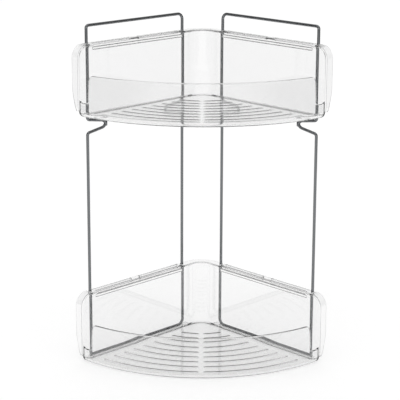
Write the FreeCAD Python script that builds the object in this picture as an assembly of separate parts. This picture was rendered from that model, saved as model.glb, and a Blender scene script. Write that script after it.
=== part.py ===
"""Two-tier quarter-wedge organiser: two moulded clear trays carried by two bent wire frames.

Plan layout: each side wall stands at 45 degrees to the middle plane X = 0, and the two wire
planes meet on a vertical line, the apex.  A side is drawn in its own coordinates: s is the
distance from the apex along the wire plane, o the distance outwards from that plane, z is up.
The finished part has its origin at the bottom centre of its bounding box, front towards -Y.
"""
import FreeCAD
import Part

import math
import os

Vec = FreeCAD.Vector

# ---- driving dimensions, mm ------------------------------------------------------------------
# wire frames
wire_diameter = 3.4
rear_leg_s = 33.5              # apex to the rear leg, along the wire plane
front_leg_setback = 17.4       # front edge of the side wall to the front leg
tier_clearance = 199.5         # lower tray's rim to the seat bends
top_bar_rise = 19.5            # upper tray's rim to the axis of the top bar
bend_radius = 7.0              # axis radius of the corner bends
seat_length = 27.0             # how far a seat bend reaches in from its leg
seat_drop = 4.4                # fall of each of the two runs of a seat bend
seat_hairpin_radius = 3.2      # axis radius of the hairpin between the two runs

# trays
tray_height = 80.0
tray_wall = 2.4
floor_thickness = 2.4
front_radius = 196.0           # outside of the front lip, about the apex
front_lip_height = 48.5
lip_half_angle = 39.0          # half of the angle that the front lip spans at the apex
lip_end_radius = 6.0
corner_notch_z = 17.0          # bottom of the notch between front lip and side wall
corner_notch_radius = 5.0
wall_setback = 4.0             # wire plane to the outside of the side wall
side_overhang = 1.0            # side wall's front edge beyond the front radius
nose_radius = 18.0             # outside radius of the rear corner
rim_corner_radius = 15.0       # top front corner of the side wall
foot_corner_radius = 12.0      # bottom front corner of the side wall
flange_width = 9.0             # outwards from the side wall
flange_thickness = 2.2
lip_depth = 6.0                # turned-down edge of the flange, from its top face
lip_thickness = 2.0
lip_leg_margin = 3.0           # leg slot to the end of the turned edge
lip_gap_length = 13.0          # thumb gap in the turned edge, half-way between the legs

# floor ribs
first_rib_radius = 55.0
rib_pitch = 15.0
rib_width = 2.6
rib_height = 1.0
rib_wall_margin = 13.0         # rib end to the inside of the side wall
rib_front_margin = 14.0        # outermost rib to the inside of the front lip
rib_spine_width = 9.0          # plain strip down the middle of the floor

# fits
wire_clearance = 0.3           # round the wire in the trays' notches
seat_clearance = 0.28          # upper tray's ledge to the seat bend
bar_clearance = 0.1            # bottom bar to the ledge that it stands on

# ---- derived ---------------------------------------------------------------------------------
wire_radius = wire_diameter / 2
side_length_s = front_radius + side_overhang
front_leg_s = side_length_s - front_leg_setback
leg_positions = (rear_leg_s, front_leg_s)
wall_outer_o = -wall_setback
wall_inner_o = -wall_setback - tray_wall
flange_outer_o = wall_outer_o + flange_width
nose_centre_y = -math.sqrt(2) * (wall_setback + nose_radius)
nose_tangent_s = wall_setback + nose_radius
notch_half_width = wire_radius + wire_clearance
bottom_bar_z = flange_thickness + wire_radius + bar_clearance

rib_zone = front_radius - tray_wall - rib_front_margin - first_rib_radius
rib_count = int(rib_zone // rib_pitch) + 1

# The seat bend is an arc between the leg and the first run, which falls by seat_drop.
seat_z = tray_height + tier_clearance
run_slope = math.atan2(seat_drop, seat_length)
seat_tangent = bend_radius * math.tan((math.pi / 2 - run_slope) / 2)
seat_arc_z = seat_z + seat_tangent
# The edge of the ledge's notch stands on the inside of that arc.
edge_to_arc_s = bend_radius - notch_half_width
edge_to_arc = bend_radius - wire_radius - seat_clearance
upper_tray_z = seat_arc_z - math.sqrt(max(edge_to_arc ** 2 - edge_to_arc_s ** 2, 0.0))

top_bar_z = upper_tray_z + tray_height + top_bar_rise
lift_travel = top_bar_rise - bend_radius

back_y = nose_centre_y + nose_radius + flange_width
shift_y = (front_radius - back_y) / 2


# ---- helpers ---------------------------------------------------------------------------------
def to_right_side(shape):
    """Turn a shape drawn in (s, o, z) onto the right-hand side."""
    turned = shape.copy()
    turned.rotate(Vec(0, 0, 0), Vec(0, 0, 1), -45)
    return turned


def both_sides(shape):
    """The right-hand shape and its mirror image."""
    right = to_right_side(shape)
    return [right, right.mirror(Vec(0, 0, 0), Vec(1, 0, 0))]


def fused(shapes):
    """One clean solid from overlapping or touching shapes."""
    return shapes[0].multiFuse(shapes[1:]).removeSplitter()


def block(s_range, o_range, z_range):
    """A box between limits in (s, o, z)."""
    size = [high - low for low, high in (s_range, o_range, z_range)]
    return Part.makeBox(*size, Vec(s_range[0], o_range[0], z_range[0]))


def corner_arc(previous, corner, following, radius):
    """Tangent arc in a corner of a polyline: start, middle and end point."""
    back = (previous - corner).normalize()
    ahead = (following - corner).normalize()
    half = back.getAngle(ahead) / 2
    tangent = radius / math.tan(half)
    bisector = (back + ahead).normalize()
    centre = corner + bisector * (radius / math.sin(half))
    return corner + back * tangent, centre - bisector * radius, corner + ahead * tangent


def rounded_loop(points, radii):
    """Closed wire through the points, with an arc of the given radius in each corner."""
    count = len(points)
    arcs = [
        corner_arc(points[i - 1], points[i], points[(i + 1) % count], radii[i])
        for i in range(count)
    ]
    edges = []
    for i in range(count):
        edges.append(Part.Arc(*arcs[i]).toShape())
        start, end = arcs[i][2], arcs[(i + 1) % count][0]
        if start.distanceToPoint(end) > 1e-6:
            edges.append(Part.LineSegment(start, end).toShape())
    return Part.Wire(edges)


def sector(inner_radius, outer_radius, height, z, centre, start_angle, angle):
    """Part of a ring about a vertical line, angles in degrees from +X."""
    outer = Part.makeCylinder(outer_radius, height, Vec(0, 0, 0), Vec(0, 0, 1), angle)
    inner = Part.makeCylinder(inner_radius, height, Vec(0, 0, 0), Vec(0, 0, 1), 360)
    ring = outer.cut(inner)
    ring.rotate(Vec(0, 0, 0), Vec(0, 0, 1), start_angle)
    ring.translate(Vec(centre.x, centre.y, z))
    return ring


# ---- wire frame ------------------------------------------------------------------------------
def frame_corners():
    """Corners of the frame's axis in the (s, z) plane, and the bend radius in each."""
    seat_far = seat_length
    run_end_z = seat_z - seat_drop
    return_start_z = run_end_z - 2 * seat_hairpin_radius / math.cos(run_slope)
    return_end_z = return_start_z - seat_drop
    hairpin = seat_hairpin_radius * 0.99
    corners = [(rear_leg_s, bottom_bar_z, bend_radius), (rear_leg_s, return_end_z, bend_radius)]
    corners += [
        (rear_leg_s + seat_far, return_start_z, hairpin),
        (rear_leg_s + seat_far, run_end_z, hairpin),
        (rear_leg_s, seat_z, bend_radius),
        (rear_leg_s, top_bar_z, bend_radius),
        (front_leg_s, top_bar_z, bend_radius),
        (front_leg_s, seat_z, bend_radius),
        (front_leg_s - seat_far, run_end_z, hairpin),
        (front_leg_s - seat_far, return_start_z, hairpin),
        (front_leg_s, return_end_z, bend_radius),
        (front_leg_s, bottom_bar_z, bend_radius),
    ]
    points = [Vec(s, 0, z) for s, z, radius in corners]
    return points, [radius for s, z, radius in corners]


def wire_frame():
    """Closed loop of round wire: bottom bar, two legs with seat bends, top bar."""
    points, radii = frame_corners()
    pieces = []
    for edge in rounded_loop(points, radii).Edges:
        start = edge.valueAt(edge.FirstParameter)
        direction = edge.tangentAt(edge.FirstParameter)
        disc = Part.Face(Part.Wire(Part.makeCircle(wire_radius, start, direction)))
        if isinstance(edge.Curve, Part.Circle):
            turn = math.degrees(edge.LastParameter - edge.FirstParameter)
            pieces.append(disc.revolve(edge.Curve.Center, edge.Curve.Axis, turn))
        else:
            pieces.append(disc.extrude(direction * edge.Length))
    return fused(pieces)


# ---- tray ------------------------------------------------------------------------------------
def plan_face(inset):
    """Wedge outline of the tray: front arc, two side walls and the rounded nose."""
    o = wall_outer_o - inset
    front_r = front_radius - inset
    nose_r = nose_radius - inset
    front_s = math.sqrt(front_r ** 2 - o ** 2)
    turn = math.sqrt(0.5)
    front_right = Vec(turn * (front_s + o), -turn * (front_s - o), 0)
    nose_right = Vec(turn * (nose_tangent_s + o), -turn * (nose_tangent_s - o), 0)
    front_left = Vec(-front_right.x, front_right.y, 0)
    nose_left = Vec(-nose_right.x, nose_right.y, 0)
    edges = [
        Part.Arc(front_left, Vec(0, -front_r, 0), front_right).toShape(),
        Part.LineSegment(front_right, nose_right).toShape(),
        Part.Arc(nose_right, Vec(0, nose_centre_y + nose_r, 0), nose_left).toShape(),
        Part.LineSegment(nose_left, front_left).toShape(),
    ]
    return Part.Face(Part.Wire(edges))


def side_panel(inset):
    """Side wall's outline in the (s, z) plane, running back past the nose, as a face."""
    far_back = -4 * nose_radius
    front = side_length_s - inset
    points = [
        Vec(far_back, 0, inset),
        Vec(front, 0, inset),
        Vec(front, 0, tray_height - inset),
        Vec(far_back, 0, tray_height - inset),
    ]
    foot_r = max(foot_corner_radius - inset, 0.5)
    rim_r = max(rim_corner_radius - inset, 0.5)
    return Part.Face(rounded_loop(points, [0.5, foot_r, rim_r, 0.5]))


def plate(face, o_low, o_high):
    """Extrude a face of the (s, z) plane between two distances from the wire plane."""
    solid = face.extrude(Vec(0, o_high - o_low, 0))
    solid.translate(Vec(0, o_low, 0))
    return solid


def lip_end_cutter():
    """Prism that ends the front lip at y < 0: a notch with a round bottom, and a round lip end."""
    reach = 2 * front_radius
    above = front_lip_height + 1
    corners = [
        Vec(0, 0, above),
        Vec(0, 0, corner_notch_z),
        Vec(front_radius, 0, corner_notch_z),
        Vec(front_radius, 0, above),
    ]
    sharp = 0.3
    profile = rounded_loop(corners, [sharp, corner_notch_radius, sharp, sharp])
    notch = Part.Face(profile).extrude(Vec(0, -reach, 0))
    centre = Vec(-lip_end_radius, -reach, front_lip_height - lip_end_radius)
    square = Part.makeBox(lip_end_radius, reach, lip_end_radius + 1, centre)
    rounding = Part.makeCylinder(lip_end_radius, reach, centre, Vec(0, 1, 0))
    cutter = notch.fuse(square.cut(rounding))
    return cutter.cut(Part.makeCylinder(front_radius - 2 * tray_wall, 2 * tray_height))


def front_wall():
    """Low wall round the plan outline, notched at each end of its curved front."""
    ring = plan_face(0).extrude(Vec(0, 0, front_lip_height))
    ring = ring.cut(plan_face(tray_wall).extrude(Vec(0, 0, front_lip_height)))
    right_cutter = lip_end_cutter()
    right_cutter.rotate(Vec(0, 0, 0), Vec(0, 0, 1), lip_half_angle)
    left_cutter = right_cutter.mirror(Vec(0, 0, 0), Vec(1, 0, 0))
    return ring.cut(right_cutter).cut(left_cutter)


def floor_rib(radius):
    """One raised arc on each half of the floor, about the apex."""
    wall_distance = -wall_inner_o + rib_wall_margin
    half_angle = 45 - math.degrees(math.asin(wall_distance / radius))
    spine_angle = math.degrees(math.asin(rib_spine_width / 2 / radius))
    base = floor_thickness - rib_height
    arcs = []
    for start in (-90 - half_angle, -90 + spine_angle):
        arcs.append(sector(radius - rib_width / 2, radius + rib_width / 2, 2 * rib_height, base,
                           Vec(0, 0, 0), start, half_angle - spine_angle))
    return arcs


def side_flange():
    """Flange round the top, front and foot of a side wall, with its edge turned down between the
    legs along the top."""
    behind = block((-5 * nose_radius, nose_tangent_s), (-50, 50), (-1, tray_height + 1))
    flange = plate(side_panel(0).cut(side_panel(flange_thickness)), wall_outer_o, flange_outer_o)
    flange = flange.cut(behind)
    leg_to_lip = notch_half_width + lip_leg_margin
    lip_span = (rear_leg_s + leg_to_lip, front_leg_s - leg_to_lip)
    lip_o = (flange_outer_o - lip_thickness, flange_outer_o)
    lip = block(lip_span, lip_o, (tray_height - lip_depth, tray_height))
    middle = (rear_leg_s + front_leg_s) / 2
    gap = (middle - lip_gap_length / 2, middle + lip_gap_length / 2)
    lip = lip.cut(block(gap, (-50, 50), (0, tray_height - flange_thickness)))
    shape = flange.fuse(lip)
    for leg_s in leg_positions:
        slot = (leg_s - notch_half_width, leg_s + notch_half_width)
        shape = shape.cut(block(slot, (-notch_half_width, 50), (-1, tray_height + 1)))
    return shape


def nose():
    """Full-height rounded rear corner with its own flange."""
    centre = Vec(0, nose_centre_y, 0)
    wall = sector(nose_radius - tray_wall, nose_radius, tray_height, 0, centre, 45, 90)
    flange = sector(nose_radius - tray_wall, nose_radius + flange_width, flange_thickness,
                    tray_height - flange_thickness, centre, 45, 90)
    return [wall, flange]


def tray():
    """One moulded tray, standing on z = 0."""
    wall = plate(side_panel(0), wall_inner_o, wall_outer_o)
    wall = wall.cut(block((-5 * nose_radius, nose_tangent_s), (-50, 50), (-1, tray_height + 1)))
    pieces = [plan_face(0).extrude(Vec(0, 0, floor_thickness)), front_wall()]
    pieces += both_sides(wall)
    pieces += both_sides(side_flange())
    pieces += nose()
    for index in range(rib_count):
        pieces += floor_rib(first_rib_radius + index * rib_pitch)
    return fused(pieces)


# ---- assembly --------------------------------------------------------------------------------
def main():
    os.makedirs("parts", exist_ok=True)
    lower_tray = tray()
    upper_tray = lower_tray.copy()
    upper_tray.translate(Vec(0, 0, upper_tray_z))
    right_frame, left_frame = both_sides(wire_frame())
    nodes = {
        "lower_tray": lower_tray,
        "upper_tray": upper_tray,
        "left_frame": left_frame,
        "right_frame": right_frame,
    }
    for name, shape in nodes.items():
        shape.translate(Vec(0, shift_y, 0))
        box = shape.BoundBox
        print(name, shape.ShapeType, len(shape.Solids), shape.isValid(), round(shape.Volume, 1),
              [round(v, 2) for v in (box.XMin, box.XMax, box.YMin, box.YMax, box.ZMin, box.ZMax)])
        shape.exportStep("parts/" + name + ".step")
    print("upper tray at z", round(upper_tray_z, 3), "lifts by", round(lift_travel, 2))


main()
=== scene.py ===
"""Two-tier wedge organiser: clear moulded trays in a pair of chromed wire side frames."""

import math

import bmesh
import bpy
import numpy as np
from mathutils import Matrix, Vector


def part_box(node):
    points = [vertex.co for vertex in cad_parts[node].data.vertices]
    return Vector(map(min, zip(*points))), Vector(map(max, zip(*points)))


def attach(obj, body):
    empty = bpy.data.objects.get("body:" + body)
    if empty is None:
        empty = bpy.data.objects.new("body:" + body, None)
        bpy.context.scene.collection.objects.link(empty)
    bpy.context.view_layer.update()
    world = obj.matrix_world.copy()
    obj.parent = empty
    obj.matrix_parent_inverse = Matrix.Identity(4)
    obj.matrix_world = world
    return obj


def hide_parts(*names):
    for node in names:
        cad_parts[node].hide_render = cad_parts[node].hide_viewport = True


MM = 0.001

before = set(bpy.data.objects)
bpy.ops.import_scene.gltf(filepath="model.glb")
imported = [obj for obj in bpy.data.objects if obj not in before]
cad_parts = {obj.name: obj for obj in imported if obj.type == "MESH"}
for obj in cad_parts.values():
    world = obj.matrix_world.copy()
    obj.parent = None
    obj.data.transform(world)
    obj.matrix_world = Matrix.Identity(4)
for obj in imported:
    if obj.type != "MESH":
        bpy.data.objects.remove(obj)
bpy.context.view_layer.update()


# ---- nodes and colours -------------------------------------------------------------------------
def linear(hex_colour):
    """sRGB hex to linear RGBA."""
    srgb = [int(hex_colour[i:i + 2], 16) / 255 for i in (1, 3, 5)]
    return [v / 12.92 if v <= 0.04045 else ((v + 0.055) / 1.055) ** 2.4 for v in srgb] + [1.0]


def add(tree, kind, links=None, **settings):
    """Add a node: plain settings by attribute or input name, links as {input: output socket}."""
    node = tree.nodes.new(kind)
    for key, value in settings.items():
        if hasattr(node, key):
            setattr(node, key, value)
        else:
            node.inputs[key.replace("_", " ")].default_value = value
    for key, source in (links or {}).items():
        tree.links.new(source, node.inputs[key])
    return node


def new_material(name, slot_colour):
    """Empty node material; slot_colour is what a plain viewport shows."""
    material = bpy.data.materials.new(name)
    material.use_nodes = True
    material.node_tree.nodes.clear()
    material.diffuse_color = linear(slot_colour)
    return material


# ---- camera ------------------------------------------------------------------------------------
AIM = Vector((-2.2, 100.06, 203.7)) * MM
DISTANCE = 1707.4 * MM
AZIMUTH, ELEVATION, ROLL = (math.radians(v) for v in (0.064, 13.52, 0.24))

camera_data = bpy.data.cameras.new("camera")
camera_data.lens = 127.24
camera_data.sensor_width = 36.0
camera_data.shift_y = -0.10
camera_data.clip_start, camera_data.clip_end = 0.05, 60.0
camera = bpy.data.objects.new("camera", camera_data)
bpy.context.scene.collection.objects.link(camera)
bpy.context.scene.camera = camera
away = Vector((math.sin(AZIMUTH) * math.cos(ELEVATION), -math.cos(AZIMUTH) * math.cos(ELEVATION),
               math.sin(ELEVATION)))
camera.rotation_mode = "QUATERNION"
camera.location = AIM + away * DISTANCE
camera.rotation_quaternion = ((-away).to_track_quat("-Z", "Y")
                              @ Matrix.Rotation(ROLL, 3, "Z").to_quaternion())

# ---- materials ---------------------------------------------------------------------------------
# Crystal polystyrene, injection-moulded in a polished mould: glass-clear and glossy, a faint grey
# in what is seen through it, and the slow waviness of a moulded wall, which bends lines a little.
clear = new_material("moulded_clear_polystyrene", "#E6EBEE")
tree = clear.node_tree
place = add(tree, "ShaderNodeTexCoord")
flow = add(tree, "ShaderNodeTexNoise", {"Vector": place.outputs["Object"]},
           Scale=1 / (30 * MM), Detail=2.0)
ripple = add(tree, "ShaderNodeBump", {"Height": flow.outputs["Fac"]},
             Strength=0.25, Distance=0.15 * MM)
plastic = add(tree, "ShaderNodeBsdfPrincipled", {"Normal": ripple.outputs["Normal"]},
              Base_Color=linear("#F9F9F9"), Roughness=0.02, IOR=1.57,
              Transmission_Weight=1.0)
add(tree, "ShaderNodeOutputMaterial", {"Surface": plastic.outputs["BSDF"]})

# Bright chromium plate on drawn steel wire: mirror-like, with a slightly uneven haze.  The colour
# is darker than real plate, a painted dark reflection: this studio's white floor leaves it little
# dark to mirror.
chrome = new_material("chromed_steel_wire", "#9A9DA0")
tree = chrome.node_tree
place = add(tree, "ShaderNodeTexCoord")
cloud = add(tree, "ShaderNodeTexNoise", {"Vector": place.outputs["Object"]},
            Scale=1 / (9 * MM), Detail=3.0)
haze = add(tree, "ShaderNodeMapRange", {"Value": cloud.outputs["Fac"]},
           To_Min=0.03, To_Max=0.07)
plate = add(tree, "ShaderNodeBsdfPrincipled", {"Roughness": haze.outputs["Result"]},
            Base_Color=linear("#787A7C"), Metallic=1.0)
add(tree, "ShaderNodeOutputMaterial", {"Surface": plate.outputs["BSDF"]})

# ---- wire frames -------------------------------------------------------------------------------
WIRE_RADIUS = 1.7
BEND_RADIUS = 7.0              # of the wire's axis, at a corner
SEAT_LENGTH = 27.0             # of the seat that the upper tray rests on
SEAT_DROP = 4.4                # fall of the seat along its length
HAIRPIN_RADIUS = 3.2           # half the height of the hairpin under a seat
HAIRPIN_BEND = 0.99 * HAIRPIN_RADIUS
TIER_CLEARANCE = 199.5         # from the lower tray's rim to the seats
ARC_STEPS = 14
RING_STEPS = 28


def rounded_loop(corners, radii, steps):
    """Closed polyline with tangent arcs in its corners: each arc is the circle of the given radius
    that touches both runs, sampled at equal angles about its centre."""
    before, after = np.roll(corners, 1, axis=0), np.roll(corners, -1, axis=0)
    back = before - corners
    back /= np.linalg.norm(back, axis=1, keepdims=True)
    ahead = after - corners
    ahead /= np.linalg.norm(ahead, axis=1, keepdims=True)
    half = np.arccos(np.clip((back * ahead).sum(axis=1), -1, 1)) / 2
    bisector = back + ahead
    bisector /= np.linalg.norm(bisector, axis=1, keepdims=True)
    centres = corners + bisector * (radii / np.sin(half))[:, None]
    start = corners + back * (radii / np.tan(half))[:, None] - centres
    cross = back[:, 0] * ahead[:, 1] - back[:, 1] * ahead[:, 0]
    turn = -np.sign(cross) * (np.pi - 2 * half)
    angles = turn[:, None] * np.linspace(0, 1, steps)[None, :]
    cos, sin = np.cos(angles), np.sin(angles)
    x = cos * start[:, :1] - sin * start[:, 1:]
    y = sin * start[:, :1] + cos * start[:, 1:]
    arcs = np.stack([x, y], axis=2) + centres[:, None, :]
    return arcs.reshape(-1, 2)


def grid_mesh(name, points, close_rows, close_columns, caps=False):
    """Mesh of quads over a (rows, columns, 3) array of points, with the first and last row capped
    if asked."""
    rows, columns, _ = points.shape
    index = np.arange(rows * columns).reshape(rows, columns)
    right = np.roll(index, -1, axis=1)
    down = np.roll(index, -1, axis=0)
    both = np.roll(right, -1, axis=0)
    quads = np.stack([index, right, both, down], axis=2)
    quads = quads[:rows if close_rows else rows - 1, :columns if close_columns else columns - 1]
    faces = quads.reshape(-1, 4).tolist()
    if caps:
        faces += [index[0, ::-1].tolist(), index[-1].tolist()]
    mesh = bpy.data.meshes.new(name)
    mesh.from_pydata(points.reshape(-1, 3).tolist(), [], faces)
    mesh.update()
    mesh.shade_smooth()
    return mesh


def wire_loop(name, node, side):
    """Round wire along a closed flat path: point = path + r (cos a * n + sin a * b), where n is the
    path's normal in its plane and b the plane's own normal.  side is +1 right, -1 left."""
    low, high = (np.array(corner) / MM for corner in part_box(node))
    near, far = min(abs(low[0]), abs(high[0])), max(abs(low[0]), abs(high[0]))
    rear_s, front_s = (near + WIRE_RADIUS) * math.sqrt(2), (far - WIRE_RADIUS) * math.sqrt(2)
    apex_y = high[1] - WIRE_RADIUS + rear_s / math.sqrt(2)
    bottom_z, top_z = low[2] + WIRE_RADIUS, high[2] - WIRE_RADIUS
    seat_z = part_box("lower_tray")[1][2] / MM + TIER_CLEARANCE
    slope = math.atan2(SEAT_DROP, SEAT_LENGTH)
    run_end = seat_z - SEAT_DROP
    return_start = run_end - 2 * HAIRPIN_RADIUS / math.cos(slope)
    return_end = return_start - SEAT_DROP
    corners = np.array([
        (rear_s, bottom_z), (rear_s, return_end), (rear_s + SEAT_LENGTH, return_start),
        (rear_s + SEAT_LENGTH, run_end), (rear_s, seat_z), (rear_s, top_z), (front_s, top_z),
        (front_s, seat_z), (front_s - SEAT_LENGTH, run_end), (front_s - SEAT_LENGTH, return_start),
        (front_s, return_end), (front_s, bottom_z)])
    # this repeats unmirrored: the front hairpin has the corners' radius, so that its two bends
    # overlap, and the front corners have the hairpin's
    radii = np.array([BEND_RADIUS, BEND_RADIUS, HAIRPIN_BEND, HAIRPIN_BEND] * 3)
    path = rounded_loop(corners, radii, ARC_STEPS)
    tangent = np.roll(path, -1, axis=0) - np.roll(path, 1, axis=0)
    tangent /= np.linalg.norm(tangent, axis=1, keepdims=True)
    normal = np.stack([tangent[:, 1], -tangent[:, 0]], axis=1)
    angle = np.linspace(0, 2 * np.pi, RING_STEPS, endpoint=False)
    s = path[:, :1] + WIRE_RADIUS * np.cos(angle) * normal[:, :1]
    z = path[:, 1:] + WIRE_RADIUS * np.cos(angle) * normal[:, 1:]
    o = np.broadcast_to(WIRE_RADIUS * np.sin(angle), s.shape)
    turn = math.sqrt(0.5)
    points = np.stack([side * turn * (s + o), apex_y - turn * (s - o), z], axis=2)
    mesh = grid_mesh(name, points * MM, True, True)
    piece = bpy.data.objects.new(name, mesh)
    bpy.context.scene.collection.objects.link(piece)
    tidy = bmesh.new()
    tidy.from_mesh(mesh)
    bmesh.ops.recalc_face_normals(tidy, faces=tidy.faces)
    tidy.to_mesh(mesh)
    tidy.free()
    mesh.materials.append(chrome)
    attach(piece, "base")
    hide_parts(node)
    return piece


wire_loop("right_wire_frame", "right_frame", 1)
wire_loop("left_wire_frame", "left_frame", -1)


# ---- trays -------------------------------------------------------------------------------------
TRAY_HEIGHT = 80.0
WALL = 2.4                     # wall and floor thickness
FRONT_RADIUS = 196.0           # outside of the front lip, about the apex
SIDE_END = 197.0               # front edge of the side walls, along the wire plane
WALL_OUTER = -4.0              # outside of the side walls, from the wire plane
NOSE_RADIUS = 18.0             # outside of the rear corner
NOSE_Y = -math.sqrt(2) * (NOSE_RADIUS - WALL_OUTER)
NOSE_TANGENT = NOSE_RADIUS - WALL_OUTER
MIDDLE_END = 157.0             # where the side wall's middle line stops, short of the front edge
FLANGE = 9.0                   # outwards from the wall
FLANGE_THICKNESS = 2.2
NARROW_FLANGE = 3.0            # its width at the front foot corner
FLANGE_RISE = 34.0             # height at which the front flange is full again
FOOT_TAPER = (185.5, 181.0)    # where the foot flange widens again, up to the front leg's slot
LIP_DEPTH = 6.0
LIP_THICKNESS = 2.0
LIP_SPAN = (38.5, 174.6)       # the turned edge runs between the legs
THUMB_GAP = (100.0, 113.1)     # where the turned edge is left away, along the wire plane
STEP_HALF = 0.4                # half the length over which the turned edge starts and stops
RIM_CORNER = 15.0
FOOT_CORNER = 12.0
BEND = 1.1                     # round on the inner edge of rim and front
RIM_BEND = 4.2                 # the same between the legs
FOOT_BEND = 0.3                # the same along the foot
BEND_GROWTH = (190.0, 196.0)   # where it grows to BEND, at the front foot corner
BEAD = 1.5                     # stiffening bead on the outside under the rim
BEAD_TOP, BEAD_FOOT, BEAD_SLOPE = 4.4, 6.8, 0.4
FACE_START = 8.5               # depth below the edge from which the wall is plain
TRACE = 0.02                   # what is left of a feature where it is absent
CORNER_ROUND = 7.0             # round of the front bottom corners, seen from the front
CUTTER_SIDE = 137.5            # outer side of its cutter
CUTTER_DEPTH = (-160.0, -131.0)
LIP_HEIGHT = 48.5
LIP_END = math.radians(39.0) * FRONT_RADIUS
LIP_END_ROUND = 6.0
LIP_END_DRAFT = 1.2
NOTCH_HEIGHT = 17.0
NOTCH_ROUND = 5.0
NOTCH_RISE = np.array([0.6, 1.0, 1.7, 2.5, 3.8, 5.0, 5.0])   # up to the wall, at its columns
FLOOR_FILLET = 2.0
LIP_FILLET = 5.0               # inside the foot of the front lip
FOOT_ROUND = 7.4               # outside of it, about the same centre
FIRST_RIB, RIB_PITCH, RIB_COUNT = 55.0, 15.0, 9
RIB_HALF, RIB_HEIGHT, RIB_SLOPE = 1.5, 0.4, 2.6
RIB_ROWS = np.array([-2.8, -2.2, -1.5, -0.8, 0.0, 0.8, 1.5, 2.2, 2.8])   # across each rib
RIB_MARGIN, RIB_END_HALF = 13.0, 0.5
SPINE_FADE = (1.0, 5.0)        # where the ribs rise, from the plain spine outwards
SPINE_COLUMNS = np.array([0.0, 1.0, 2.0, 3.0, 4.0, 5.0, 6.5])
WALL_COLUMNS = FLOOR_FILLET * np.array([1.0, 0.7, 0.4, 0.2, 0.06, 0.0, -0.6])
NOSE_OVERLAP = 1.2             # how far the floor reaches into the nose's wall
FIRST_ARC = 33.0               # radius from which the floor's rows are arcs about the apex
NOSE_STRIP = 18.7              # length of the strip between the nose and that row
LEGS = (33.5, 179.6)           # along the wire plane
SLOT_HALF = 2.0
SLOT_REACH = 12.0              # how far outwards the slot cutters run
SLOT_LEVELS = ((-3.0, 8.0), (60.0, 90.0))   # through the foot ledge and through the rim flange


def from_side(s, o, z):
    """Side coordinates to plan: s runs from the apex along the wire plane, o outwards from it."""
    s, o, z = np.broadcast_arrays(s, o, z)
    turn = math.sqrt(0.5)
    return np.stack([turn * (s + o), -turn * (s - o), z], axis=-1)


def smooth(low, high, value):
    """0 at low and before it, 1 at high and beyond, 3t^2 - 2t^3 between."""
    t = np.clip((value - low) / (high - low), 0, 1)
    return t * t * (3 - 2 * t)


def rounded_sections(corners, radii, steps):
    """Open sections (rows, corners, 2) with a tangent arc in each inner corner.  An arc takes at
    most half of its shorter run, so that thin sections stay whole."""
    back = corners[:, :-2] - corners[:, 1:-1]
    ahead = corners[:, 2:] - corners[:, 1:-1]
    back_length = np.linalg.norm(back, axis=2)
    ahead_length = np.linalg.norm(ahead, axis=2)
    back /= back_length[..., None]
    ahead /= ahead_length[..., None]
    half = np.arccos(np.clip((back * ahead).sum(axis=2), -1 + 1e-9, 1)) / 2
    tangent = np.minimum(radii / np.tan(half), 0.48 * np.minimum(back_length, ahead_length))
    start = corners[:, 1:-1] + back * tangent[..., None]
    end = corners[:, 1:-1] + ahead * tangent[..., None]
    # An arc as a rational quadratic: the weight is the sine of half the corner's angle.
    weight = np.sin(half)[..., None, None]
    t = np.linspace(0, 1, steps)[None, None, :, None]
    middle = corners[:, 1:-1][:, :, None, :]
    numerator = ((1 - t) ** 2 * start[:, :, None, :] + 2 * t * (1 - t) * weight * middle
                 + t ** 2 * end[:, :, None, :])
    arcs = numerator / ((1 - t) ** 2 + 2 * t * (1 - t) * weight + t ** 2)
    arcs = arcs.reshape(len(corners), -1, 2)
    return np.concatenate([corners[:, :1], arcs, corners[:, -1:]], axis=1)


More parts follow.
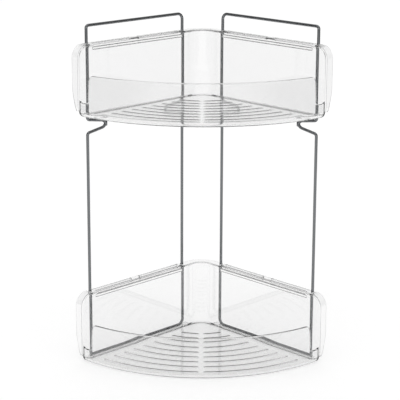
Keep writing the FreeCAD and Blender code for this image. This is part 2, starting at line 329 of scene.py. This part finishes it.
def wall_path():
    """Right half of the wall's edge line, from the top of the nose forwards along the rim, down
    the front and back along the foot: a quarter of the nose's circle, then straight runs joined by
    quarter circles.  Rows of: edge point, inward direction, outward normal, point on the wall's
    middle line, and s and z of the row.  Rows stand closer where the section changes."""
    phi = np.radians(np.linspace(0, 45, 12))[:-1]
    nose_out = np.stack([np.sin(phi), np.cos(phi), 0 * phi], axis=1)
    steps = np.array(THUMB_GAP + LIP_SPAN)[:, None] + np.array([-STEP_HALF, STEP_HALF])
    steps = steps.ravel()
    run = np.unique(np.concatenate([[NOSE_TANGENT, NOSE_TANGENT + 1.5, MIDDLE_END],
                                    np.arange(30, MIDDLE_END, 8.0), steps[steps < MIDDLE_END]]))
    top_run = np.concatenate([run, steps[steps > MIDDLE_END], [SIDE_END - RIM_CORNER]])
    foot_run = np.concatenate([run, [172.0, 180.0, SIDE_END - FOOT_CORNER]])
    beta = np.linspace(np.pi / 2, 0, 12)[1:]
    rim = np.stack([SIDE_END - RIM_CORNER + RIM_CORNER * np.cos(beta),
                    TRAY_HEIGHT - RIM_CORNER + RIM_CORNER * np.sin(beta)], axis=1)
    front_z = np.array([45.0, 36.0, 30.0, 25.0, 21.0, 17.5, 14.5])
    foot = np.stack([SIDE_END - FOOT_CORNER + FOOT_CORNER * np.cos(beta[::-1]),
                     FOOT_CORNER - FOOT_CORNER * np.sin(beta[::-1])], axis=1)
    edge = np.concatenate([
        np.stack([top_run, 0 * top_run + TRAY_HEIGHT], axis=1), rim,
        np.stack([0 * front_z + SIDE_END, front_z], axis=1), foot,
        np.stack([foot_run[::-1], 0 * foot_run], axis=1)])
    inward = np.concatenate([
        np.tile([0.0, -1.0], (len(top_run), 1)), -np.stack([np.cos(beta), np.sin(beta)], axis=1),
        np.tile([-1.0, 0.0], (len(front_z), 1)),
        np.stack([-np.cos(beta[::-1]), np.sin(beta[::-1])], axis=1),
        np.tile([0.0, 1.0], (len(foot_run), 1))])
    s, z = edge[:, 0], edge[:, 1]
    panel = {
        "edge": from_side(s, WALL_OUTER, z), "inward": from_side(inward[:, 0], 0, inward[:, 1]),
        "out": np.tile(from_side(0, 1, 0), (len(s), 1)), "s": s, "z": z,
        "middle": from_side(np.minimum(s, MIDDLE_END), WALL_OUTER, TRAY_HEIGHT / 2)}
    centre = np.array([0, NOSE_Y, 0])
    rows = []
    for level, down, order in ((TRAY_HEIGHT, -1.0, slice(None)),
                               (0.0, 1.0, slice(None, None, -1))):
        out = nose_out[order]
        rows.append({
            "edge": centre + NOSE_RADIUS * out + [0, 0, level],
            "inward": np.tile([0, 0, down], (len(out), 1)), "out": out,
            "middle": centre + NOSE_RADIUS * out + [0, 0, TRAY_HEIGHT / 2],
            "s": np.zeros(len(out)), "z": np.full(len(out), level)})
    return {key: np.concatenate([rows[0][key], panel[key], rows[1][key]]) for key in panel}


def between(span, s):
    """1 inside a span along the wire plane and 0 outside it, with short smooth steps."""
    low, high = span
    rise = smooth(low - STEP_HALF, low + STEP_HALF, s)
    return rise * (1 - smooth(high - STEP_HALF, high + STEP_HALF, s))


def wall_shell():
    """Walls, rim and foot ledge in one closed surface.  Point = edge + a * inward + b * outward,
    where (b, a) is the wall's section: inner face, bent flange, turned-over edge, bead and outer
    face.  The section is carried along the wall's whole edge line, and its two ends meet on the
    wall's middle line."""
    path = wall_path()
    s, z = path["s"], path["z"]
    at_foot, at_top = z < FOOT_CORNER, z > TRAY_HEIGHT / 2
    on_rim = between(LIP_SPAN, s) * at_top
    turned = on_rim * (1 - between(THUMB_GAP, s))
    depth = FLANGE_THICKNESS + (LIP_DEPTH - FLANGE_THICKNESS) * turned
    # the flange narrows round the foot corner and is full again before the front leg's slot
    taper = (smooth(0.0, FLANGE_RISE, z) * (s > SIDE_END - FOOT_CORNER)
             + smooth(*FOOT_TAPER, s) * at_foot)
    tapered = NARROW_FLANGE + (FLANGE - NARROW_FLANGE) * np.clip(taper, 0, 1)
    width = np.where((z < FLANGE_RISE) & (s > SIDE_END / 2), tapered, FLANGE)
    # the nose stands on its wall alone, without a ledge
    width = np.where(at_foot & (s < NOSE_TANGENT + 1), FOOT_BEND, width)
    bend = np.where(at_foot, FOOT_BEND + (BEND - FOOT_BEND) * smooth(*BEND_GROWTH, s),
                    BEND + (RIM_BEND - BEND) * on_rim)
    bead = TRACE + BEAD * on_rim
    edge_round = np.where(turned > 0.5, 0.95, 1.05)
    zero = 0 * s
    # corners of the section as (outwards, inwards along the wall): all but both ends are rounded
    corners = [
        (zero - WALL, zero + FACE_START),
        (zero - WALL, zero),
        (width, zero),
        (width, depth),
        (np.maximum(width - LIP_THICKNESS, 0.6 * width), depth),
        (np.maximum(width - LIP_THICKNESS - 0.3, 0.4 * width), zero + FLANGE_THICKNESS),
        (zero, zero + FLANGE_THICKNESS),
        (zero, zero + BEAD_TOP - BEAD_SLOPE),
        (bead, zero + BEAD_TOP),
        (bead, zero + BEAD_FOOT),
        (zero, zero + BEAD_FOOT + BEAD_SLOPE),
        (zero, zero + FACE_START)]
    radii = [bend, np.where(turned > 0.5, 1.3, 1.05), edge_round, edge_round, zero + 0.5,
             0.9 + 0.9 * on_rim, zero + 0.4, zero + 1.0, zero + 1.0, zero + 0.4]
    corners = np.stack([np.stack(corner, axis=1) for corner in corners], axis=1)
    section = rounded_sections(corners, np.stack(radii, axis=1), 6)
    across, along = section[..., :1], section[..., 1:]
    surface = (path["edge"][:, None] + along * path["inward"][:, None]
               + across * path["out"][:, None])
    inner_middle = path["middle"] - WALL * path["out"]
    right = np.concatenate([inner_middle[:, None], surface, path["middle"][:, None]], axis=1)
    left = (right * [-1, 1, 1])[-2:0:-1]
    return grid_mesh("wall_shell", np.concatenate([right, left]), True, False)


def floor_columns(radius):
    """Angles from the middle plane of the floor's columns at each radius: lines at fixed distances
    from the middle, then an even fan out to the lip's ends, then lines at fixed distances from the
    side wall, the last one inside its thickness."""
    r = np.asarray(radius, float)[:, None]
    centre = np.arcsin(SPINE_COLUMNS / r)
    sides = np.pi / 4 - np.arcsin((WALL - WALL_OUTER + WALL_COLUMNS) / r)
    profile, _ = lip_edge()
    first = math.asin(SPINE_COLUMNS[-1] / FRONT_RADIUS)
    last = math.pi / 4 - math.asin((WALL - WALL_OUTER + WALL_COLUMNS[0]) / FRONT_RADIUS)
    share = (profile / FRONT_RADIUS - first) / (last - first)
    fan = centre[:, -1:] + share * (sides[:, :1] - centre[:, -1:])
    return np.concatenate([centre, fan, sides], axis=1)


def lip_edge():
    """Top edge of the front lip unrolled, as distance from the middle and height: level, a quarter
    round, a drafted end, and a quarter round into the low notch."""
    # columns about 2.7 mm apart on the level part, and two more on the notch's floor
    level = np.linspace(7.8, LIP_END - LIP_END_ROUND - 2.6, 44)
    beta = np.linspace(np.pi / 2, 0, 8)
    round_x = LIP_END - LIP_END_ROUND + LIP_END_ROUND * np.cos(beta)
    round_z = LIP_HEIGHT - LIP_END_ROUND + LIP_END_ROUND * np.sin(beta)
    low_x = LIP_END + LIP_END_DRAFT + NOTCH_ROUND - NOTCH_ROUND * np.cos(beta[::-1])
    low_z = NOTCH_HEIGHT + NOTCH_ROUND - NOTCH_ROUND * np.sin(beta[::-1])
    t = np.array([0.25, 0.5, 0.75])
    end_x = round_x[-1] + t * (low_x[0] - round_x[-1])
    end_z = round_z[-1] + t * (low_z[0] - round_z[-1])
    tail_x = low_x[-1] + np.array([1.8, 3.6])
    x = np.concatenate([level, round_x, end_x, low_x, tail_x])
    z = np.concatenate([0 * level + LIP_HEIGHT, round_z, end_z, low_z, 0 * tail_x + NOTCH_HEIGHT])
    return x, z


def floor_top(x, y):
    """Height of the floor's upper side: level, a fillet up to the walls, and raised ribs that are
    arcs about the apex and fade out towards the plain spine down the middle."""
    turn = math.sqrt(0.5)
    s, o = turn * (abs(x) - y), turn * (abs(x) + y)
    from_wall = np.where(s < NOSE_TANGENT, NOSE_RADIUS - WALL - np.hypot(x, y - NOSE_Y),
                         WALL_OUTER - WALL - o)
    rise = FLOOR_FILLET - np.clip(from_wall, 0, FLOOR_FILLET)
    fillet = FLOOR_FILLET - np.sqrt(FLOOR_FILLET ** 2 - rise ** 2)
    r = np.hypot(x, y)
    nearest = np.clip(np.round((r - FIRST_RIB) / RIB_PITCH), 0, RIB_COUNT - 1)
    off = abs(r - FIRST_RIB - nearest * RIB_PITCH)
    crest = 1 - smooth(RIB_HALF - RIB_SLOPE / 2, RIB_HALF + RIB_SLOPE / 2, off)
    ends = smooth(RIB_MARGIN - RIB_END_HALF, RIB_MARGIN + RIB_END_HALF, from_wall)
    return WALL + fillet + RIB_HEIGHT * crest * ends * smooth(*SPINE_FADE, abs(x))


def floor_and_lip():
    """Floor, ribs and front lip as one closed surface: a section in radius and height, carried
    from side wall to side wall.  The section runs forwards over the floor, up the lip's inside,
    over its round top, down its outside and back along the underside."""
    rib_rows = FIRST_RIB + RIB_PITCH * np.arange(RIB_COUNT)[:, None] + RIB_ROWS
    inside = FRONT_RADIUS - WALL
    # rows on the ribs and plain rows behind, between and before them
    floor_r = np.unique(np.concatenate([[FIRST_ARC, 40.0, 47.0], rib_rows.ravel(),
                                        rib_rows[1:, 0] - 5.5, [183.0, inside - LIP_FILLET]]))
    beta = np.linspace(0, np.pi / 2, 7)[1:]
    fillet_r = inside - LIP_FILLET + LIP_FILLET * np.sin(beta)
    fillet_z = WALL + LIP_FILLET - LIP_FILLET * np.cos(beta)
    top = np.linspace(np.pi, 0, 9)
    half = WALL / 2
    foot = np.linspace(0, np.pi / 2, 7)
    foot_r = FRONT_RADIUS - FOOT_ROUND + FOOT_ROUND * np.cos(foot)
    foot_z = FOOT_ROUND - FOOT_ROUND * np.sin(foot)
    under_r = np.linspace(foot_r[-1], FIRST_ARC, 10)[1:]
    # lip rows: share of the way from the fillet's top, or the foot's, to the round top
    rise = np.array([0.25, 0.5, 0.75])
    radius = np.concatenate([floor_r, fillet_r, 0 * rise + inside,
                             FRONT_RADIUS - half + half * np.cos(top), 0 * rise + FRONT_RADIUS,
                             foot_r, under_r])
    angles = floor_columns(radius)
    _, edge_z = lip_edge()
    height = np.concatenate([0 * SPINE_COLUMNS + LIP_HEIGHT, edge_z, NOTCH_HEIGHT + NOTCH_RISE])
    columns = angles.shape[1]
    level = height[None, :] - half
    rows_z = [
        np.zeros((len(floor_r), columns)), np.tile(fillet_z[:, None], columns),
        fillet_z[-1] + rise[:, None] * (level - fillet_z[-1]),
        level + half * np.sin(top)[:, None],
        foot_z[0] + rise[::-1, None] * (level - foot_z[0]),
        np.tile(foot_z[:, None], columns), np.zeros((len(under_r), columns))]
    z = np.concatenate(rows_z)
    x, y = radius[:, None] * np.sin(angles), -radius[:, None] * np.cos(angles)
    floor_rows = len(floor_r)
    z[:floor_rows] = floor_top(x[:floor_rows], y[:floor_rows])
    # over the fillet rows the side fillet still rises above the lip's fillet
    low = slice(floor_rows, floor_rows + len(beta))
    z[low] = np.maximum(z[low], floor_top(x[low], y[low]))
    # rows between the nose and the first full arc, blended from one to the other
    share = (angles[0] / angles[0, -1])[None, :] * np.pi / 4
    reach = NOSE_RADIUS - WALL + NOSE_OVERLAP
    start_x, start_y = reach * np.sin(share), NOSE_Y + reach * np.cos(share)
    steps = np.array([0, 1.2, 1.35, 1.7, 2.3, 3.2, 5.5, 9.0, 13.5])[:, None] / NOSE_STRIP
    near_x = start_x + steps * (x[:1] - start_x)
    near_y = start_y + steps * (y[:1] - start_y)
    under = np.zeros((1, columns))
    x = np.concatenate([near_x, x, start_x])
    y = np.concatenate([near_y, y, start_y])
    z = np.concatenate([floor_top(near_x, near_y), z, under])
    right = np.stack([x, y, z], axis=2).transpose(1, 0, 2)
    left = (right * [-1, 1, 1])[:0:-1]
    return grid_mesh("floor_and_lip", np.concatenate([left, right]), False, True, caps=True)


def leg_slots():
    """Cutters for the eight leg slots: upright prisms with a round inner end about the wire."""
    beta = np.linspace(-np.pi / 2, np.pi / 2, 13)
    s = np.concatenate([SLOT_HALF * np.sin(beta), [SLOT_HALF, -SLOT_HALF]])
    o = np.concatenate([-SLOT_HALF * np.cos(beta), [SLOT_REACH, SLOT_REACH]])
    prisms = []
    for leg in LEGS:
        for low, high in SLOT_LEVELS:
            ends = np.stack([from_side(leg + s, o, low), from_side(leg + s, o, high)])
            prisms += [ends, ends * [-1, 1, 1]]
    meshes = [grid_mesh("slot", ends, False, True, caps=True) for ends in prisms]
    return joined("leg_slots", meshes)


def corner_rounds():
    """Cutters that round both front bottom corners: what lies outside a quarter circle in the
    front view, as a short prism from front to back."""
    beta = np.linspace(-np.pi / 2, 0, 13)
    inset = 5.2                # of the floor's last column from the wire plane
    edge_x = math.sqrt(0.5) * (math.sqrt(FRONT_RADIUS ** 2 - inset ** 2) - inset) + 0.2
    x = np.concatenate([edge_x - CORNER_ROUND + CORNER_ROUND * np.cos(beta),
                        [CUTTER_SIDE, CUTTER_SIDE]])
    z = np.concatenate([CORNER_ROUND + CORNER_ROUND * np.sin(beta), [CORNER_ROUND, -3.0]])
    x = np.append(x, edge_x - CORNER_ROUND)
    z = np.append(z, -3.0)
    ends = np.stack([np.stack([x, 0 * x + y, z], axis=1) for y in CUTTER_DEPTH])
    return joined("corner_rounds", [grid_mesh("round", ends * [sign, 1, 1], False, True, caps=True)
                                    for sign in (1, -1)])


def joined(name, meshes):
    """One mesh from several, with its faces turned outwards."""
    whole = bmesh.new()
    for mesh in meshes:
        whole.from_mesh(mesh)
        bpy.data.meshes.remove(mesh)
    bmesh.ops.recalc_face_normals(whole, faces=whole.faces)
    mesh = bpy.data.meshes.new(name)
    whole.to_mesh(mesh)
    whole.free()
    return mesh


def combined(first, second, operation):
    """Union or difference of two closed meshes, as a new mesh."""
    pair = [bpy.data.objects.new(mesh.name, mesh) for mesh in (first, second)]
    for piece in pair:
        bpy.context.scene.collection.objects.link(piece)
    cut = pair[0].modifiers.new("cut", "BOOLEAN")
    cut.object, cut.operation, cut.solver = pair[1], operation, "MANIFOLD"
    shown = pair[0].evaluated_get(bpy.context.evaluated_depsgraph_get())
    result = bpy.data.meshes.new_from_object(shown)
    for piece, mesh in zip(pair, (first, second)):
        bpy.data.objects.remove(piece)
        bpy.data.meshes.remove(mesh)
    return result


def closed(mesh):
    """Weld the seams and poles of a mesh and turn its faces outwards."""
    shell = bmesh.new()
    shell.from_mesh(mesh)
    bmesh.ops.remove_doubles(shell, verts=shell.verts, dist=0.0005)
    bmesh.ops.dissolve_degenerate(shell, edges=shell.edges, dist=0.0005)
    bmesh.ops.recalc_face_normals(shell, faces=shell.faces)
    shell.to_mesh(mesh)
    shell.free()
    return mesh


def tray_mesh():
    """The whole tray in millimetres, standing on z = 0, apex at the origin."""
    body = combined(closed(wall_shell()), closed(floor_and_lip()), "UNION")
    return combined(combined(body, leg_slots(), "DIFFERENCE"), corner_rounds(), "DIFFERENCE")


tray_form = tray_mesh()


def moulded_tray(name, node, body):
    """A tray in its place: the form raised to the node's foot and moved back from the apex."""
    low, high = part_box(node)
    mesh = tray_form.copy()
    mesh.name = name
    apex = (low[1] + high[1] + (FRONT_RADIUS - NOSE_Y - NOSE_RADIUS - FLANGE) * MM) / 2
    mesh.transform(Matrix.Translation((0, apex, low[2])) @ Matrix.Scale(MM, 4))
    mesh.shade_smooth()
    mesh.set_sharp_from_angle(angle=math.radians(32))
    piece = bpy.data.objects.new(name, mesh)
    bpy.context.scene.collection.objects.link(piece)
    weighting = piece.modifiers.new("flat_walls", "WEIGHTED_NORMAL")
    weighting.keep_sharp = True
    mesh.materials.clear()
    mesh.materials.append(clear)
    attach(piece, body)
    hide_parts(node)
    return piece


moulded_tray("lower_tray_moulding", "lower_tray", "base")
moulded_tray("upper_tray_moulding", "upper_tray", "upper_tray")

# ---- stage and light ---------------------------------------------------------------------------
floor_mesh = bpy.data.meshes.new("floor")
STAGE_HALF = 8.0               # metres
STAGE_Z = -0.2 * MM
floor_mesh.from_pydata([(x * STAGE_HALF, y * STAGE_HALF, STAGE_Z)
                        for x, y in ((-1, -1), (1, -1), (1, 1), (-1, 1))], [], [(0, 1, 2, 3)])
floor = bpy.data.objects.new("floor", floor_mesh)
bpy.context.scene.collection.objects.link(floor)
# Pale floor with a painted glow: painted light fills in the shadow under the object, leaving a
# weak one, and fades to painted shade far out on both sides, so that the clear walls mirror less
# light than they let through.
paper = new_material("pale_floor_with_painted_glow", "#FFFFFF")
tree = paper.node_tree
place = add(tree, "ShaderNodeTexCoord")
split = add(tree, "ShaderNodeSeparateXYZ", {"Vector": place.outputs["Object"]})
sideways = add(tree, "ShaderNodeMath", {0: split.outputs["X"]}, operation="ABSOLUTE")
# painted light: the floor glows strongly near the middle and fades to painted shade far out
# sideways
painted_glow = add(tree, "ShaderNodeMapRange", {"Value": sideways.outputs["Value"]},
           interpolation_type="SMOOTHSTEP", From_Min=0.8, From_Max=1.5, To_Min=0.72, To_Max=0.15)
sheet = add(tree, "ShaderNodeBsdfPrincipled", {"Emission Strength": painted_glow.outputs["Result"]},
            Base_Color=linear("#A4A4A4"), Roughness=0.9, Specular_IOR_Level=0.1,
            Emission_Color=(1, 1, 1, 1))
add(tree, "ShaderNodeOutputMaterial", {"Surface": sheet.outputs["BSDF"]})
floor_mesh.materials.append(paper)

# A white room: dark flags at both sides draw the edges, a large fill stands behind the camera, a
# softbox hangs overhead, and a dim ring lies between the softbox and the walls.
world = bpy.data.worlds.new("studio")
bpy.context.scene.world = world
world.use_nodes = True
tree = world.node_tree
tree.nodes.clear()
direction = add(tree, "ShaderNodeTexCoord")
split = add(tree, "ShaderNodeSeparateXYZ", {"Vector": direction.outputs["Generated"]})
sideways = add(tree, "ShaderNodeMath", {0: split.outputs["X"]}, operation="ABSOLUTE")
flags = add(tree, "ShaderNodeMapRange", {"Value": sideways.outputs["Value"]},
            interpolation_type="SMOOTHSTEP", From_Min=0.36, From_Max=0.60, To_Min=0.0, To_Max=1.0)
level = add(tree, "ShaderNodeMix", {"Factor": flags.outputs["Result"]}, A=0.88, B=0.08)
# each light covers the ones before it: the fill, the dim ring and the softbox
for axis, start, end, brightness in (("Y", -0.3, -0.6, 1.3), ("Z", 0.34, 0.46, 0.42),
                                     ("Z", 0.72, 0.85, 1.3)):
    edge = add(tree, "ShaderNodeMapRange", {"Value": split.outputs[axis]},
               interpolation_type="SMOOTHSTEP", From_Min=start, From_Max=end, To_Min=0.0,
               To_Max=1.0)
    level = add(tree, "ShaderNodeMix", {"Factor": edge.outputs["Result"],
                                        "A": level.outputs["Result"]}, B=brightness)
background = add(tree, "ShaderNodeBackground", {"Strength": level.outputs["Result"]},
                 Color=(1, 1, 1, 1))
add(tree, "ShaderNodeOutputWorld", {"Surface": background.outputs["Background"]})

scene = bpy.context.scene
scene.view_settings.view_transform = "Standard"
scene.cycles.max_bounces = 32
scene.cycles.transmission_bounces = 32
